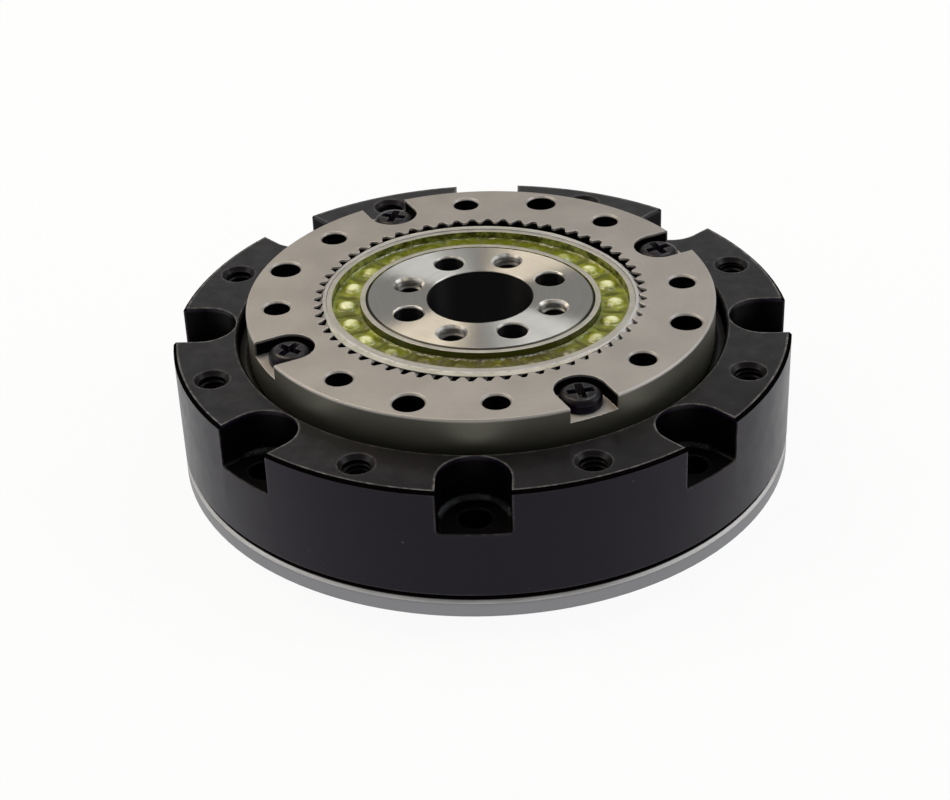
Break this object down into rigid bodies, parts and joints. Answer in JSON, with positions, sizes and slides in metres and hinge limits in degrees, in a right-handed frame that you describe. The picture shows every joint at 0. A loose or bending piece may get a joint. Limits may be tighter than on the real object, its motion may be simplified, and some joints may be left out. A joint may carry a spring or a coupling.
{
  "type": "strain wave gearbox",
  "caption": "Flat round strain wave gearbox: an oval ball bearing bends a thin toothed cup, which turns an inner-toothed output ring held in a crossed roller bearing.",
  "frame": {"origin": "centre of the flange's bottom face, on the gear axis", "axes": "+Z along the gear axis towards the toothed output ring; +Y points away from the picture's camera"},
  "size_m": [0.07, 0.07, 0.0189],
  "materials": {
    "housing_black": "black oxide on turned steel, satin",
    "cup_steel": "fine turned alloy steel, satin",
    "ring_steel": "ground steel, warm grey, satin",
    "hub_steel": "bright lathe turned steel",
    "bearing_steel": "ground and polished bearing steel",
    "screw_black": "black oxide, slightly glossy",
    "seal_rubber": "black nitrile rubber",
    "cage_plastic": "natural nylon",
    "spacer_plastic": "natural nylon"
  },
  "bodies": {
    "housing": {"housing": "housing_black", "flexspline": "cup_steel", "bearing_seal": "seal_rubber", "flange_o_ring": "seal_rubber", "flange_screws": "screw_black"},
    "wave_generator": {"wave_generator_hub": "hub_steel", "flex_bearing_inner_race": "bearing_steel", "flex_bearing_outer_race": "bearing_steel", "flex_bearing_balls": "bearing_steel", "flex_bearing_cage": "cage_plastic"},
    "output": {"circular_spline": "ring_steel", "bearing_inner_ring_upper": "bearing_steel", "bearing_inner_ring_lower": "bearing_steel", "spline_screws": "screw_black", "spline_o_ring": "seal_rubber"},
    "rollers": {"crossed_rollers": "bearing_steel", "roller_spacers": "spacer_plastic"}
  },
  "joints": [
    {"name": "wave_generator_spin", "type": "hinge", "parent": "housing", "child": "wave_generator", "pos_m": [0, 0, 0.0162], "axis": [0, 0, 1], "continuous": true, "deforming": ["flexspline"]},
    {"name": "output_spin", "type": "hinge", "parent": "housing", "child": "output", "pos_m": [0, 0, 0.0076], "axis": [0, 0, 1], "continuous": true, "deforming": ["flexspline"]},
    {"name": "roller_orbit", "type": "hinge", "parent": "housing", "child": "rollers", "pos_m": [0, 0, 0.0076], "axis": [0, 0, 1], "continuous": true}
  ],
  "couplings": [
    {"joint": "output_spin", "follows": "wave_generator_spin", "ratio": 0.032258},
    {"joint": "roller_orbit", "follows": "wave_generator_spin", "ratio": 0.0155}
  ]
}
